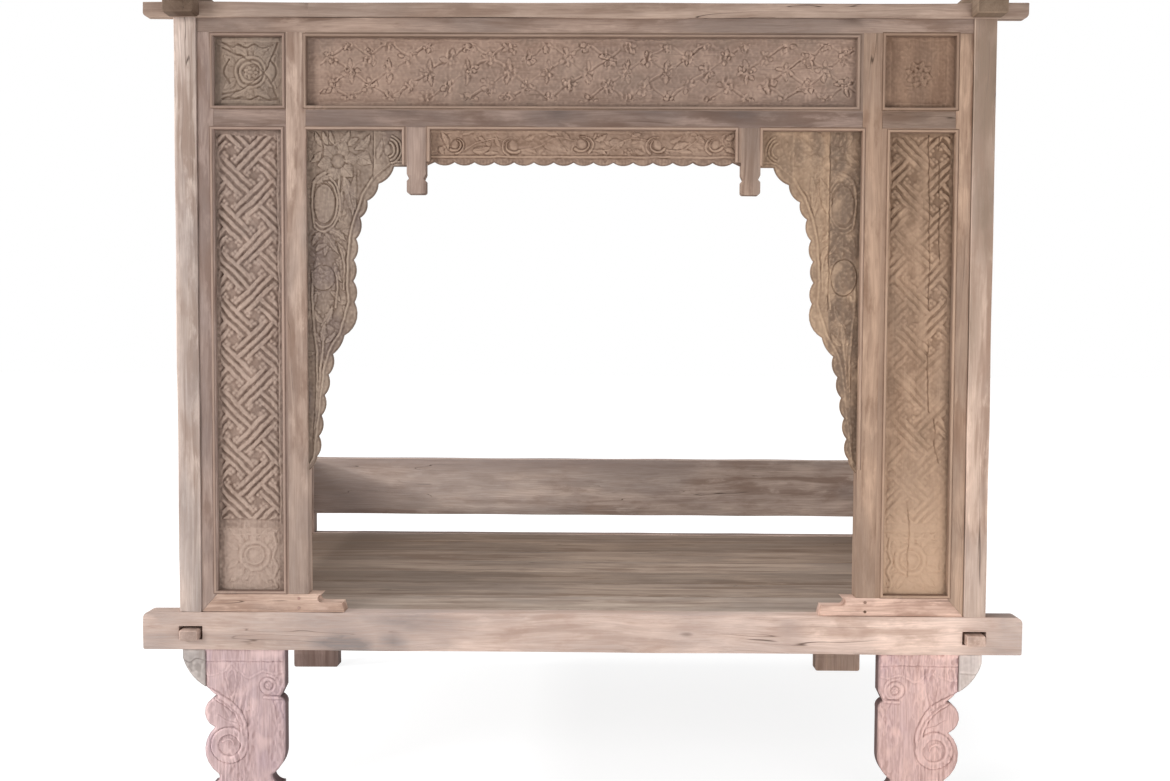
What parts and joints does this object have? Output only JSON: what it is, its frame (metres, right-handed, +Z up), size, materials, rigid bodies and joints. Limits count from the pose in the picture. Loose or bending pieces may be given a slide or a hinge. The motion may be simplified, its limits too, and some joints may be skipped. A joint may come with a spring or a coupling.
{
  "type": "carved canopy bed",
  "caption": "Carved wooden canopy day bed with a boarded deck, plank legs, posts and top beams, low boards at back and sides, and a framed fret-carved screen with scalloped spandrels in front.",
  "frame": {"origin": "on the floor under the middle of the bed", "axes": "+Z up, +X to the right along the bed's length, the carved front faces -Y"},
  "size_m": [2.2, 1.362, 2.02],
  "materials": {
    "frame_wood": "bleached, weathered, unvarnished",
    "deck_wood": "grey weathered, worn",
    "carved_wood": "carved in relief, bleached, dark in the hollows",
    "leg_wood": "pale pink limed wood, chisel marked",
    "ear_wood": "whitish grey, dry",
    "peg_wood": "dark end grain"
  },
  "bodies": {
    "root": {"front_bed_rail": "frame_wood", "back_bed_rail": "frame_wood", "left_side_rail": "frame_wood", "right_side_rail": "frame_wood", "bearer_left": "deck_wood", "bearer_middle": "deck_wood", "bearer_right": "deck_wood", "deck_board_1": "deck_wood", "deck_board_2": "deck_wood", "deck_board_3": "deck_wood", "deck_board_4": "deck_wood", "deck_board_5": "deck_wood", "deck_board_6": "deck_wood", "deck_board_7": "deck_wood", "front_left_leg": "leg_wood", "front_right_leg": "leg_wood", "front_left_leg_ear": "ear_wood", "front_right_leg_ear": "ear_wood", "back_left_leg": "leg_wood", "back_right_leg": "leg_wood", "front_left_post": "frame_wood", "front_right_post": "frame_wood", "back_left_post": "frame_wood", "back_right_post": "frame_wood", "front_top_beam": "frame_wood", "back_top_beam": "frame_wood", "left_top_beam": "frame_wood", "right_top_beam": "frame_wood", "back_board": "deck_wood", "left_side_board": "deck_wood", "right_side_board": "deck_wood", "screen_top_rail": "frame_wood", "left_mid_rail": "frame_wood", "centre_mid_rail": "frame_wood", "right_mid_rail": "frame_wood", "left_outer_stile": "frame_wood", "right_outer_stile": "frame_wood", "left_inner_stile": "frame_wood", "right_inner_stile": "frame_wood", "left_shoe_rail": "frame_wood", "right_shoe_rail": "frame_wood", "left_corner_panel": "carved_wood", "right_corner_panel": "carved_wood", "frieze_panel": "carved_wood", "left_tall_panel": "carved_wood", "right_tall_panel": "carved_wood", "left_spandrel": "carved_wood", "right_spandrel": "carved_wood", "apron_panel": "carved_wood", "left_pendant": "frame_wood", "right_pendant": "frame_wood", "left_upper_peg": "peg_wood", "left_lower_peg": "peg_wood", "right_upper_peg": "peg_wood", "right_lower_peg": "peg_wood"}
  },
  "joints": []
}
